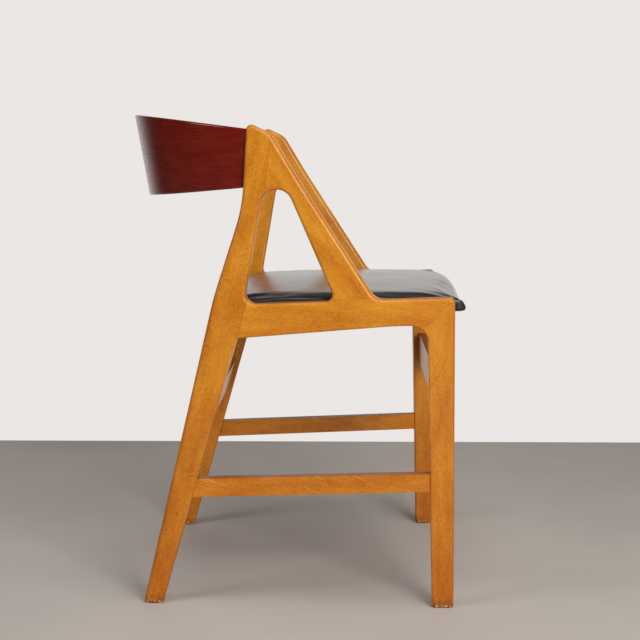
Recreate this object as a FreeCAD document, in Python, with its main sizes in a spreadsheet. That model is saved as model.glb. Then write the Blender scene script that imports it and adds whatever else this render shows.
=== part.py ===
import os
from math import atan2, cos, degrees, hypot, radians, sin, tan

import FreeCAD
import Part
import Sketcher

# Dining chair with two A-shaped side frames, a bent backrest shell and an upholstered seat pad.
# Frame of reference: +Z up, the sitter faces -Y, origin on the floor under the middle of the chair.
# The two side frames are drawn flat, as (back, up): "back" runs from the front face of the front
# leg towards the rear, "up" from the floor. Each is then toed in, so the chair narrows to the rear.

V = FreeCAD.Vector
doc = FreeCAD.newDocument("dining_chair")
sheet = doc.addObject("Spreadsheet::Sheet", "sizes")
cell_names = []

SIZES = {
    # side frames
    "frame_thickness": 24.5,        # stock thickness of both side frames
    "frame_half_width": 250.0,      # outer face of a front leg, from the middle plane
    "frame_front": -238.0,          # Y of the front face of the front legs
    "toe_in": 2.05,                 # degrees each frame turns in towards the rear
    "outer_roundover": 6.5,
    "opening_roundover": 5.0,
    "inner_roundover": 2.5,
    "foot_chamfer": 2.0,
    "comb_length": 26.0,            # length of the fingers of the combed mitre
    "comb_fingers": 5,              # layers of that comb, leg and rail in turn
    "brace_seam_rise": 3.0,         # seam under the brace stands this far over the rail's top
    # side stretchers and cross rails
    "stretcher_thickness": 18.0,
    "stretcher_setback": 3.2,       # behind the outer face of the frame
    "cross_rail_height": 51.0,
    "cross_rail_thickness": 20.0,
    "front_rail_back": 7.0,         # front face of the front rail behind the leg's front face
    "front_rail_up": 294.0,
    "rear_rail_up": 249.0,
    "rear_rail_recess": 7.0,        # behind the front edge of the rear legs
    # backrest shell, bent round a leaning cylinder
    "shell_radius": 237.5,          # outer radius
    "shell_thickness": 9.5,
    "shell_lean": 10.3,             # degrees
    "shell_rear_back": 496.0,       # rearmost point of its top edge
    "shell_rear_up": 726.0,
    "shell_edge_round": 2.5,
    # seat pad
    "pad_bottom": 433.5,
    "pad_clearance": 1.0,           # between the pad and each side frame
    "cover_thickness": 1.2,
    "board_thickness": 9.0,
    "underside_width": 376.0,       # lining cloth between the cover's turned-in edges
    "underside_length": 318.0,
    "cover_turn_under": 22.0,       # width of the cover's edge folded under the board
    # seat cleats
    "cleat_size": 17.5,
    "cleat_start": 66.0,
    "cleat_length": 216.0,
    # fasteners
    "dowel_diameter": 8.0,
    "screw_diameter": 4.0,
    "screw_head_diameter": 8.0,
    "screw_head_height": 2.4,
}


def add_cell(alias, value):
    """Keep one driving dimension in the sheet, under its alias."""
    cell_names.append(alias)
    row = len(cell_names)
    sheet.set("A%d" % row, alias)
    sheet.set("B%d" % row, "%.4f" % value)
    sheet.setAlias("B%d" % row, alias)


def bind(obj, prop, size):
    """Bind a property to a formula, in which @ stands before a cell's alias, or to a number."""
    if isinstance(size, str):
        obj.setExpression(prop, size.replace("@", "sizes."))
    else:
        setattr(obj, prop, size)


for size_name, size_value in SIZES.items():
    add_cell(size_name, size_value)

# ---------------------------------------------------------------- outlines of the side frame
# Each corner is (name, back, up, radius). Straight lines join them, and arcs round them.

RAIL_TOP_UP = 457.5
RAIL_SLOPE = -0.039                 # the side rail's top falls towards the rear
FRAME_OUTLINE = [
    ("front_foot_front", 0.0, 0.0, 0.0),
    ("front_foot_rear", 31.5, 0.0, 0.0),
    ("crotch", 39.5, 415.8, 24.0),
    ("rail_arch", 86.0, 415.3, 400.0),
    ("rail_rear_corner", 318.0, 395.6, 0.0),
    ("rear_foot_front", 430.0, 0.0, 0.0),
    ("rear_foot_rear", 458.0, 0.0, 0.0),
    ("rear_knee", 352.3, 455.0, 400.0),
    ("post_waist", 309.5, 588.0, 243.0),
    ("post_top_rear", 303.0, 711.0, 7.5),
    ("apex_front", 266.9, 694.2, 33.0),
    ("brace_bend", 231.0, 634.0, 600.0),
    ("brace_foot_front", 114.6, RAIL_TOP_UP + RAIL_SLOPE * 114.6, 24.0),
    ("front_top", 0.0, RAIL_TOP_UP, 8.0),
]
OPENING_OUTLINE = [
    ("opening_front", 173.4, 450.7, 10.0),
    ("opening_rear", 307.7, 445.5, 15.0),
    ("opening_apex", 269.8, 671.6, 23.6),
]
CORNER = {name: (back, up) for name, back, up, radius in FRAME_OUTLINE + OPENING_OUTLINE}


def along(first, second, up):
    """The point at a given height on the line through two corners."""
    (b0, u0), (b1, u1) = first, second
    return b0 + (b1 - b0) * (up - u0) / (u1 - u0), up


# The leg and rail meet in a combed mitre: fingers run from this line down to a parallel one.
MITRE = (CORNER["front_top"], CORNER["crotch"])
MITRE_SLOPE = (MITRE[1][1] - MITRE[0][1]) / (MITRE[1][0] - MITRE[0][0])
COMB_DROP = SIZES["comb_length"] * hypot(1.0, MITRE_SLOPE)
FRONT_SEAM = (CORNER["front_foot_rear"], CORNER["crotch"])           # rear face of a front leg
REAR_SEAM = (CORNER["rear_foot_front"], CORNER["rail_rear_corner"])
RAKE = atan2(REAR_SEAM[0][0] - REAR_SEAM[1][0], REAR_SEAM[1][1])     # lean of the rear legs
APEX_SEAM = ((268.5, 685.0), (276.0, 612.0))         # where brace and post meet
MARGIN = 40.0                       # how far a region reaches into free space
LEG_CLEAR = 60.0                    # back: behind the front leg
BRACE_CLEAR = 250.0                 # back: in the window, behind the brace's foot
REAR_CLEAR = 240.0                  # back: ahead of the rear leg
BEHIND = 520.0                      # back: behind the whole frame
OVERHEAD = 760.0                    # up: over the whole frame
WINDOW_HIGH = 600.0                 # up: in the window, under the apex
WINDOW_LOW = 466.0                  # up: in the window, over the rail
UNDER_RAIL = 300.0                  # up: between the legs, under the rail


def mitre_point(back, drop=0.0):
    return back, MITRE[0][1] + MITRE_SLOPE * back - drop


def brace_seam_point(back):
    return back, RAIL_TOP_UP + RAIL_SLOPE * back + SIZES["brace_seam_rise"]


LEG_REGION = [(-MARGIN, -MARGIN), (LEG_CLEAR, -MARGIN), mitre_point(LEG_CLEAR, COMB_DROP),
              mitre_point(-MARGIN, COMB_DROP)]
FINGER_REGION = [mitre_point(-MARGIN, COMB_DROP), mitre_point(LEG_CLEAR, COMB_DROP),
                 mitre_point(LEG_CLEAR), mitre_point(-MARGIN)]
REAR_LEG_REGION = [(REAR_CLEAR, -MARGIN), (BEHIND, -MARGIN), (BEHIND, OVERHEAD),
                   along(*APEX_SEAM, up=OVERHEAD), along(*APEX_SEAM, up=WINDOW_HIGH),
                   along(*REAR_SEAM, up=WINDOW_LOW), CORNER["rail_rear_corner"],
                   (REAR_CLEAR, UNDER_RAIL)]
BRACE_REGION = [brace_seam_point(LEG_CLEAR), brace_seam_point(BRACE_CLEAR),
                along(*APEX_SEAM, up=WINDOW_HIGH), along(*APEX_SEAM, up=OVERHEAD),
                (LEG_CLEAR, OVERHEAD)]

# ------------------------------------------------------------------------- sketch helpers

FLAT_SKETCH = FreeCAD.Rotation(V(1, 1, 1), 120)       # sketch x, y, normal become Y, Z, X
FRONT_SKETCH = FreeCAD.Rotation(V(1, 0, 0), 90)       # sketch x, y, normal become X, Z, -Y


def frame_placement(back=0.0, up=0.0, inward=0.0, turn=FreeCAD.Rotation()):
    """A place in the sitter's right side frame: inward is measured from its outer face."""
    toe = FreeCAD.Rotation(V(0, 0, 1), -SIZES["toe_in"])
    corner = V(-SIZES["frame_half_width"], SIZES["frame_front"], 0)
    return FreeCAD.Placement(corner + toe.multVec(V(inward, back, up)), toe.multiply(turn))


def fill_sketch(sketch, prefix, corners):
    """Draw a closed outline, anticlockwise, with every corner and radius bound to the sheet."""
    count = len(corners)
    points = [V(c[1], c[2], 0) for c in corners]
    ways = [(points[(i + 1) % count] - points[i]).normalize() for i in range(count)]
    trims, turns = [], []
    for i, corner in enumerate(corners):
        before, after = ways[i - 1], ways[i]
        turns.append(atan2(before.x * after.y - before.y * after.x, before.dot(after)))
        trims.append(corner[3] * tan(abs(turns[i]) / 2))
    lines = []
    for i in range(count):
        start = points[i] + ways[i] * trims[i]
        end = points[(i + 1) % count] - ways[i] * trims[(i + 1) % count]
        lines.append(Part.LineSegment(start, end))
    line_ids = sketch.addGeometry(lines, False)
    rules, bound = [], []

    def drive(kind, alias, value, *where):
        add_cell(alias, value)
        bound.append((len(rules), alias))
        rules.append(Sketcher.Constraint(kind, *where, value))

    for i, (name, back, up, radius) in enumerate(corners):
        stem = prefix + name
        line_in, line_out = line_ids[i - 1], line_ids[i]
        if radius:
            side = 1 if turns[i] > 0 else -1
            inward = V(-ways[i - 1].y, ways[i - 1].x, 0) * side
            centre = points[i] - ways[i - 1] * trims[i] + inward * radius
            first = atan2(-inward.y, -inward.x)
            angles = (first, first + turns[i]) if side > 0 else (first + turns[i], first)
            circle = Part.Circle(centre, V(0, 0, 1), radius)
            arc = sketch.addGeometry(Part.ArcOfCircle(circle, *angles), False)
            spot = sketch.addGeometry(Part.Point(points[i]), True)
            near, far = (1, 2) if side > 0 else (2, 1)
            rules.append(Sketcher.Constraint("Tangent", line_in, 2, arc, near))
            rules.append(Sketcher.Constraint("Tangent", arc, far, line_out, 1))
            rules.append(Sketcher.Constraint("PointOnObject", spot, 1, line_in))
            rules.append(Sketcher.Constraint("PointOnObject", spot, 1, line_out))
            drive("Radius", stem + "_radius", radius, arc)
            target = spot
        else:
            rules.append(Sketcher.Constraint("Coincident", line_in, 2, line_out, 1))
            target = line_out
        drive("DistanceX", stem + "_back", back, -1, 1, target, 1)
        drive("DistanceY", stem + "_up", up, -1, 1, target, 1)
    sketch.addConstraint(rules)
    for index, alias in bound:
        bind(sketch, "Constraints[%d]" % index, "@" + alias)


def outline(name, prefix, corners):
    """A sketch lying in the sitter's right side frame."""
    sketch = doc.addObject("Sketcher::SketchObject", name)
    fill_sketch(sketch, prefix, corners)
    sketch.Placement = frame_placement(turn=FLAT_SKETCH)
    return sketch


def region(name, points):
    """A full-thickness block over part of a side frame, used to cut one piece out of it."""
    corners = [("corner%d" % i, back, up, 0.0) for i, (back, up) in enumerate(points)]
    return extrude(name, outline(name + "_outline", name + "_", corners), "@frame_thickness")


def extrude(name, sketch, length):
    """A sketch thickened along its normal by a formula of the sheet or a number."""
    block = doc.addObject("Part::Extrusion", name)
    block.Base = sketch
    block.DirMode = "Normal"
    block.Solid = True
    bind(block, "LengthFwd", length)
    return block


def boolean(kind, name, first, *others):
    """Cut the others from the first, or keep what is common to both."""
    result = doc.addObject("Part::" + kind, name)
    if kind == "MultiFuse":
        result.Shapes = [first, *others]
        return result
    result.Base = first
    result.Tool = others[0] if len(others) == 1 else boolean("MultiFuse", name + "_tools", *others)
    return result


def cylinder(name, diameter, length, placement):
    rod = doc.addObject("Part::Cylinder", name)
    bind(rod, "Radius", "@%s / 2" % diameter)
    rod.Height = length
    rod.Placement = placement
    return rod


def box(name, sizes, placement=FreeCAD.Placement()):
    """A box whose three sizes are formulas of the sheet or numbers."""
    block = doc.addObject("Part::Box", name)
    for prop, size in zip(("Length", "Width", "Height"), sizes):
        bind(block, prop, size)
    block.Placement = placement
    return block


# ------------------------------------------------------------ the right side frame, uncut

blank = doc.addObject("PartDesign::Body", "side_blank")
blank.Placement = frame_placement()
flat_plane = next(f for f in blank.Origin.OriginFeatures if f.Role == "YZ_Plane")


def body_sketch(name, prefix, corners):
    sketch = blank.newObject("Sketcher::SketchObject", name)
    sketch.AttachmentSupport = (flat_plane, [""])
    sketch.MapMode = "FlatFace"
    fill_sketch(sketch, prefix, corners)
    return sketch


pad_feature = blank.newObject("PartDesign::Pad", "frame_stock")
pad_feature.Profile = body_sketch("frame_outline", "", FRAME_OUTLINE)
bind(pad_feature, "Length", "@frame_thickness")
window = blank.newObject("PartDesign::Pocket", "frame_window")
window.Profile = body_sketch("window_outline", "", OPENING_OUTLINE)
window.Type = "ThroughAll"
window.Reversed = True
doc.recompute()

INNER_SIDE = ("front_foot_rear", "crotch", "rail_arch", "rail_rear_corner", "rear_foot_front")


def flat_distance(back, up, first, second):
    """How far a point of the frame is from the stretch between two corners."""
    (b0, u0), (b1, u1) = first, second
    run = hypot(b1 - b0, u1 - u0)
    share = ((back - b0) * (b1 - b0) + (up - u0) * (u1 - u0)) / run ** 2
    share = min(max(share, 0.0), 1.0)
    return hypot(back - b0 - share * (b1 - b0), up - u0 - share * (u1 - u0))


def edge_group(edge):
    """Which roundover a long edge of the side frame gets: opening, inner or outer."""
    box_of_edge = edge.BoundBox
    if box_of_edge.XLength > 0.01 or box_of_edge.ZMax < 0.01:
        return None
    middle = edge.valueAt((edge.FirstParameter + edge.LastParameter) / 2)
    spot = middle.y, middle.z
    window_corners = [CORNER[c[0]] for c in OPENING_OUTLINE]
    inner_corners = [CORNER[name] for name in INNER_SIDE]
    outer_corners = [CORNER[c[0]] for c in FRAME_OUTLINE if c[0] not in INNER_SIDE[1:-1]]
    outer_corners = outer_corners[2:] + outer_corners[:1]
    chains = {"opening": window_corners + window_corners[:1], "inner": inner_corners,
              "outer": outer_corners}
    nearest = {}
    for group, corners in chains.items():
        nearest[group] = min(flat_distance(*spot, *pair) for pair in zip(corners, corners[1:]))
    return min(nearest, key=nearest.get)


top_feature = window
for group in ("outer", "opening", "inner"):
    edges = [i for i, e in enumerate(top_feature.Shape.Edges, 1) if edge_group(e) == group]
    rounded = blank.newObject("PartDesign::Fillet", group + "_rounding")
    rounded.Base = (top_feature, ["Edge%d" % i for i in edges])
    bind(rounded, "Radius", "@%s_roundover" % group)
    doc.recompute()
    top_feature = rounded

foot_edges = [i for i, e in enumerate(top_feature.Shape.Edges, 1) if e.BoundBox.ZMax < 0.01]
foot_chamfers = blank.newObject("PartDesign::Chamfer", "foot_chamfers")
foot_chamfers.Base = (top_feature, ["Edge%d" % i for i in foot_edges])
bind(foot_chamfers, "Size", "@foot_chamfer")
blank.Tip = foot_chamfers
doc.recompute()

# ------------------------------------------------------------ dowels of the side frame

STRETCHER_OUTLINE = [
    ("stretcher_front_low", *along(*FRONT_SEAM, up=171.5), 0.0),
    ("stretcher_rear_low", *along(*REAR_SEAM, up=159.5), 0.0),
    ("stretcher_rear_high", *along(*REAR_SEAM, up=187.0), 0.0),
    ("stretcher_front_high", *along(*FRONT_SEAM, up=198.0), 0.0),
]
STRETCHER_TOP = [corner[1:3] for corner in STRETCHER_OUTLINE[:1:-1]]
STRETCHER_SLOPE = degrees(atan2(STRETCHER_TOP[1][1] - STRETCHER_TOP[0][1],
                                STRETCHER_TOP[1][0] - STRETCHER_TOP[0][0]))
SEAM_SQUARE = degrees(RAKE)                           # square to the seam of rail and rear leg
BRACE_SQUARE = 90.0 + degrees(atan2(RAIL_SLOPE, 1.0))
# Each is (name, back, up, slope in degrees, length, share of the length before that point).
FRAME_DOWELS = [
    ("brace_foot_front", *brace_seam_point(144.0), BRACE_SQUARE, 46.0, 0.5),
    ("brace_foot_rear", *brace_seam_point(168.0), BRACE_SQUARE, 46.0, 0.5),
    ("apex_low", *along(*APEX_SEAM, up=633.0), 0.0, 30.0, 0.5),
    ("apex_high", *along(*APEX_SEAM, up=660.0), 0.0, 30.0, 0.5),
    ("rail_low", *along(*REAR_SEAM, up=410.0), SEAM_SQUARE, 46.0, 0.55),
    ("rail_high", *along(*REAR_SEAM, up=433.0), SEAM_SQUARE, 46.0, 0.55),
    ("stretcher_front_low", *along(*FRONT_SEAM, up=178.6), STRETCHER_SLOPE, 40.0, 0.45),
    ("stretcher_front_high", *along(*FRONT_SEAM, up=191.4), STRETCHER_SLOPE, 40.0, 0.45),
    ("stretcher_rear_low", *along(*REAR_SEAM, up=166.8), STRETCHER_SLOPE, 40.0, 0.55),
    ("stretcher_rear_high", *along(*REAR_SEAM, up=179.6), STRETCHER_SLOPE, 40.0, 0.55),
]
MID_STOCK = SIZES["frame_thickness"] / 2


def frame_dowel(name, back, up, slope, length, share):
    """A dowel in the middle of the frame's thickness, running up and back at the given slope."""
    way = V(0, cos(radians(slope)), sin(radians(slope)))
    start = V(0, back, up) - way * length * share
    turn = FreeCAD.Rotation(V(0, 0, 1), way)
    place = frame_placement(start.y, start.z, MID_STOCK, turn)
    return cylinder(name + "_dowel", "dowel_diameter", length, place)


right_frame_dowels = boolean("MultiFuse", "right_frame_dowels",
                             *[frame_dowel(*row) for row in FRAME_DOWELS])

# Cross-rail dowels lie across the chair: (name, back, up) in the inner face of each leg.
FRONT_RAIL_MIDDLE = SIZES["front_rail_back"] + SIZES["cross_rail_thickness"] / 2
REAR_RAIL_FOOT = V(*along(*REAR_SEAM, up=SIZES["rear_rail_up"]), 0) \
    + V(cos(RAKE), sin(RAKE), 0) * SIZES["rear_rail_recess"]
REAR_RAIL_WAY = V(-sin(RAKE), cos(RAKE), 0)           # up the rear rail's front face
REAR_RAIL_DEEP = V(cos(RAKE), sin(RAKE), 0)           # through its thickness


def rear_rail_point(height, depth):
    spot = REAR_RAIL_FOOT + REAR_RAIL_WAY * height + REAR_RAIL_DEEP * depth
    return spot.x, spot.y


HALF_RAIL = SIZES["cross_rail_thickness"] / 2
DOWEL_LOW = 12.0                                      # heights of the two dowels in a rail's end
DOWEL_HIGH = SIZES["cross_rail_height"] - DOWEL_LOW
CROSS_DOWELS = [("front_rail_low", FRONT_RAIL_MIDDLE, SIZES["front_rail_up"] + DOWEL_LOW),
                ("front_rail_high", FRONT_RAIL_MIDDLE, SIZES["front_rail_up"] + DOWEL_HIGH),
                ("rear_rail_low", *rear_rail_point(DOWEL_LOW, HALF_RAIL)),
                ("rear_rail_high", *rear_rail_point(DOWEL_HIGH, HALF_RAIL))]
CROSS_DOWEL_LENGTH = 40.0
CROSS_DOWEL_BITE = 14.0                               # how deep it goes into the leg

right_cross = []
for dowel_name, dowel_back, dowel_up in CROSS_DOWELS:
    inset = SIZES["frame_thickness"] - CROSS_DOWEL_BITE
    across = FreeCAD.Rotation(V(0, 0, 1), V(1, 0, 0))
    place = frame_placement(dowel_back, dowel_up, inset, across)
    right_cross.append(cylinder(dowel_name + "_dowel", "dowel_diameter", CROSS_DOWEL_LENGTH, place))
right_cross_dowels = boolean("MultiFuse", "right_cross_dowels", *right_cross)


def mirrored(name, source):
    twin = doc.addObject("Part::Mirroring", name)
    twin.Source = source
    twin.Normal = V(1, 0, 0)
    return twin


left_cross_dowels = mirrored("left_cross_dowels", right_cross_dowels)
cross_rail_dowels = boolean("MultiFuse", "cross_rail_dowels",
                            right_cross_dowels, left_cross_dowels)

# ------------------------------------------------------------ backrest shell

LEAN = radians(SIZES["shell_lean"])
SHELL_HOUSING = 10.0                                  # depth of its ends in the posts
SHELL_LENGTH = 400.0                                  # of the cylinders it is cut from
LONG_EDGE = 200.0                                     # only its top and bottom edges are longer
SHELL_PROFILE = [
    ("shell_low_front", 292.5, 616.7, 0.0),
    ("shell_low_rear", BEHIND, 593.8, 0.0),
    ("shell_high_rear", BEHIND, 729.8, 0.0),
    ("shell_high_front", 292.0, 699.8, 0.0),
]


def shell_cylinder(name, radius):
    """A long upright cylinder leaning back, touching the shell's rearmost point."""
    back = SIZES["shell_rear_back"] - SIZES["shell_radius"] / cos(LEAN)
    axis = V(0, sin(LEAN), cos(LEAN))
    middle = V(0, SIZES["frame_front"] + back, SIZES["shell_rear_up"])
    rod = doc.addObject("Part::Cylinder", name)
    bind(rod, "Radius", radius)
    rod.Height = SHELL_LENGTH
    rod.Placement = FreeCAD.Placement(middle - axis * SHELL_LENGTH / 2,
                                      FreeCAD.Rotation(V(0, 0, 1), axis))
    return rod


shell_tube = boolean("Cut", "shell_tube", shell_cylinder("shell_outside", "@shell_radius"),
                     shell_cylinder("shell_inside", "@shell_radius - @shell_thickness"))
shell_sketch = doc.addObject("Sketcher::SketchObject", "shell_side_view")
fill_sketch(shell_sketch, "", SHELL_PROFILE)
CHAIR_SPAN = 2 * SIZES["frame_half_width"]
shell_sketch.Placement = FreeCAD.Placement(V(-CHAIR_SPAN / 2, SIZES["frame_front"], 0),
                                           FLAT_SKETCH)
shell_slab = extrude("shell_slab", shell_sketch, "2 * @frame_half_width")
shell_square = boolean("Common", "shell_square", shell_tube, shell_slab)
doc.recompute()

long_edges = [i for i, e in enumerate(shell_square.Shape.Edges, 1) if e.Length > LONG_EDGE]
backrest = doc.addObject("Part::Fillet", "backrest")
backrest.Base = shell_square
edge_radius = SIZES["shell_edge_round"]
backrest.Edges = [(i, edge_radius, edge_radius) for i in long_edges]

# ------------------------------------------------------------ pieces of the right side frame

leg_block = region("leg_block", LEG_REGION)
layer = SIZES["frame_thickness"] / SIZES["comb_fingers"]
finger_outline = outline("finger_outline", "finger_",
                         [("corner%d" % i, *p, 0.0) for i, p in enumerate(FINGER_REGION)])
fingers = []
for index in range(0, SIZES["comb_fingers"], 2):
    finger = extrude("finger%d" % index, finger_outline, "@frame_thickness / @comb_fingers")
    finger.Placement = FreeCAD.Placement(frame_placement().Rotation.multVec(V(index * layer, 0, 0)),
                                         FreeCAD.Rotation())
    fingers.append(finger)
leg_share = boolean("MultiFuse", "leg_share", leg_block, *fingers)
rear_leg_block = region("rear_leg_block", REAR_LEG_REGION)
brace_block = region("brace_block", BRACE_REGION)

front_leg_rough = boolean("Common", "front_leg_rough", blank, leg_share)
rear_leg_rough = boolean("Common", "rear_leg_rough", blank, rear_leg_block)
brace_rough = boolean("Common", "brace_rough", blank, brace_block)
side_rail_rough = boolean("Cut", "side_rail_rough", blank, leg_share, rear_leg_block, brace_block)

stretcher_outline = outline("stretcher_outline", "", STRETCHER_OUTLINE)
stretcher_rough = extrude("stretcher_rough", stretcher_outline, "@stretcher_thickness")
stretcher_rough.Placement = FreeCAD.Placement(
    frame_placement().Rotation.multVec(V(SIZES["stretcher_setback"], 0, 0)), FreeCAD.Rotation())

right_front_leg = boolean("Cut", "right_front_leg", front_leg_rough,
                          right_frame_dowels, right_cross_dowels)
right_rear_leg = boolean("Cut", "right_rear_leg", rear_leg_rough,
                         right_frame_dowels, right_cross_dowels, backrest)
right_arm_brace = boolean("Cut", "right_arm_brace", brace_rough, right_frame_dowels)
right_side_stretcher = boolean("Cut", "right_side_stretcher", stretcher_rough, right_frame_dowels)

# ------------------------------------------------------------ cross rails

OUTSIDE_DEPTH = 400.0                                 # block covering all beyond a frame's inside
OUTSIDE_SPAN = 900.0
inner_wall = box("right_outside", (OUTSIDE_DEPTH, OUTSIDE_SPAN, OUTSIDE_SPAN),
                 frame_placement(-OUTSIDE_SPAN / 4, -MARGIN,
                                 SIZES["frame_thickness"] - OUTSIDE_DEPTH))
other_wall = mirrored("left_outside", inner_wall)
HALF = SIZES["frame_half_width"]
front_rail_stock = box("front_rail_stock",
                       ("2 * @frame_half_width", "@cross_rail_thickness", "@cross_rail_height"),
                       FreeCAD.Placement(V(-HALF, SIZES["frame_front"] + SIZES["front_rail_back"],
                                           SIZES["front_rail_up"]), FreeCAD.Rotation()))
rear_rail_stock = box("rear_rail_stock",
                      ("2 * @frame_half_width", "@cross_rail_thickness", "@cross_rail_height"),
                      FreeCAD.Placement(V(-HALF, SIZES["frame_front"] + REAR_RAIL_FOOT.x,
                                          REAR_RAIL_FOOT.y),
                                        FreeCAD.Rotation(V(1, 0, 0), degrees(RAKE))))
front_rail = boolean("Cut", "front_rail", front_rail_stock, inner_wall, other_wall,
                     cross_rail_dowels)
rear_rail = boolean("Cut", "rear_rail", rear_rail_stock, inner_wall, other_wall,
                    cross_rail_dowels)

# ------------------------------------------------------------ seat cleats and screws

CLEAT_UP = SIZES["pad_bottom"] - SIZES["cleat_size"]
right_cleat_stock = box("right_cleat_stock", ("@cleat_size", "@cleat_length", "@cleat_size"),
                        frame_placement(SIZES["cleat_start"], CLEAT_UP, SIZES["frame_thickness"]))


def screw(name, length, placement):
    """A countersunk wood screw, its head flush with the start of the placement's Z axis."""
    shank = cylinder(name + "_shank", "screw_diameter", length, placement)
    head = doc.addObject("Part::Cone", name + "_head")
    bind(head, "Radius1", "@screw_head_diameter / 2")
    bind(head, "Radius2", "@screw_diameter / 2")
    bind(head, "Height", "@screw_head_height")
    head.Placement = placement
    return boolean("MultiFuse", name, shank, head)


CLEAT_SCREW_LENGTH = 34.0
CLEAT_SCREW_BACKS = (95.0, 174.0, 253.0)
SEAT_SCREW_LENGTH = 25.0
SEAT_SCREW_BACKS = (130.0, 218.0)
OUTWARD = FreeCAD.Rotation(V(0, 0, 1), V(-1, 0, 0))
CLEAT_MIDDLE = SIZES["frame_thickness"] + SIZES["cleat_size"] / 2
CLEAT_FACE = SIZES["frame_thickness"] + SIZES["cleat_size"]
right_cleat_screws = boolean("MultiFuse", "right_cleat_screws", *[
    screw("cleat_screw%d" % back, CLEAT_SCREW_LENGTH,
          frame_placement(back, CLEAT_UP + SIZES["cleat_size"] / 2, CLEAT_FACE, OUTWARD))
    for back in CLEAT_SCREW_BACKS])
right_seat_screws = boolean("MultiFuse", "right_seat_screws", *[
    screw("seat_screw%d" % back, SEAT_SCREW_LENGTH, frame_placement(back, CLEAT_UP, CLEAT_MIDDLE))
    for back in SEAT_SCREW_BACKS])
cleat_screws = boolean("MultiFuse", "cleat_screws", right_cleat_screws,
                       mirrored("left_cleat_screws", right_cleat_screws))
seat_screws = boolean("MultiFuse", "seat_screws", right_seat_screws,
                      mirrored("left_seat_screws", right_seat_screws))
right_seat_cleat = boolean("Cut", "right_seat_cleat", right_cleat_stock,
                           right_cleat_screws, right_seat_screws)
right_side_rail = boolean("Cut", "right_side_rail", side_rail_rough,
                          right_frame_dowels, right_cleat_screws)

# ------------------------------------------------------------ seat pad

PAD_LOW = SIZES["pad_bottom"]
PAD_NOSE = -19.5                                      # the pad's front overhangs the legs
PAD_TAIL = 340.0
PAD_DOME = 469.5                                      # height of the crown, seen from the front
# Side view: (name, back, up, radius, which way back and up move as the form is inset).
PAD_SIDE = [
    ("front_low", PAD_NOSE, PAD_LOW, 7.0, 1, 1),
    ("rear_low", PAD_TAIL, PAD_LOW, 5.0, -1, 1),
    ("rear_high", PAD_TAIL, 456.0, 12.0, -1, -1),
    ("crown", 150.0, 469.0, 900.0, 0, -1),
    ("front_high", 2.0, 467.5, 30.0, 1, -1),
    ("nose", PAD_NOSE, 449.0, 11.0, 1, -1),
]
PAD_WALL = SIZES["frame_thickness"] + SIZES["pad_clearance"]
# Seen from the front, in the right frame: (name, inward, up, radius, inset directions).
PAD_FRONT = [
    ("wall_low", PAD_WALL, PAD_LOW, 4.0, 1, 1),
    ("far_low", CHAIR_SPAN, PAD_LOW, 0.0, 0, 1),
    ("far_high", CHAIR_SPAN, PAD_DOME, 0.0, 0, -1),
    ("dome", 160.0, PAD_DOME, 500.0, 0, -1),
    ("wall_high", PAD_WALL, 459.5, 9.0, 1, -1),
]
PAD_SWEEP_START = 400.0                               # from behind the pad to ahead of it
PAD_SWEEP_LENGTH = 460.0
ROUND_CORNER = 100.0                                  # radii under this shrink with an inset
BOARD_NOSE_GAP = 9.3                                  # foam ahead of the board, behind the cover
BOARD_TAIL_GAP = 5.0
BOARD_SIDE_GAP = 1.5
BOARD_CORNER_RADIUS = 18.0


def inset_corners(rows, inset):
    corners = []
    for name, across, up, radius, move_across, move_up in rows:
        smaller = max(radius - inset, 0.0) if radius < ROUND_CORNER else radius
        corners.append((name, across + move_across * inset, up + move_up * inset, smaller))
    return corners


def pad_form(name, inset):
    """The crowned block of the pad: its side view crossed with its two toed-in front views."""
    side = doc.addObject("Sketcher::SketchObject", name + "_side")
    fill_sketch(side, name + "_", inset_corners(PAD_SIDE, inset))
    side.Placement = FreeCAD.Placement(V(-CHAIR_SPAN / 2, SIZES["frame_front"], 0), FLAT_SKETCH)
    side_block = extrude(name + "_side_block", side, "2 * @frame_half_width")
    front = doc.addObject("Sketcher::SketchObject", name + "_front")
    fill_sketch(front, name + "_", inset_corners(PAD_FRONT, inset))
    front.Placement = frame_placement(PAD_SWEEP_START, turn=FRONT_SKETCH)
    right_block = extrude(name + "_right_block", front, PAD_SWEEP_LENGTH)
    half = boolean("Common", name + "_half", side_block, right_block)
    return boolean("Common", name, half, mirrored(name + "_left_block", right_block))


pad_outside = pad_form("pad_outside", 0.0)
pad_inside = pad_form("pad_inside", SIZES["cover_thickness"])
TURN_UNDER = SIZES["cover_turn_under"]
seat_underside = box("seat_underside",
                     ("@underside_width", "@underside_length", "@cover_thickness"),
                     FreeCAD.Placement(V(-SIZES["underside_width"] / 2,
                                         SIZES["frame_front"] + PAD_NOSE + TURN_UNDER, PAD_LOW),
                                       FreeCAD.Rotation()))

# The board, seen from above: (name, across, back, radius). Foam wraps over its edges.
BOARD_NOSE = PAD_NOSE + SIZES["cover_thickness"] + BOARD_NOSE_GAP
BOARD_TAIL = PAD_TAIL - SIZES["cover_thickness"] - BOARD_TAIL_GAP


def board_half(back):
    """Half the board's width, which narrows towards the rear as the frames toe in."""
    wall = PAD_WALL + SIZES["cover_thickness"] + BOARD_SIDE_GAP
    return SIZES["frame_half_width"] - wall - back * tan(radians(SIZES["toe_in"]))


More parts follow.
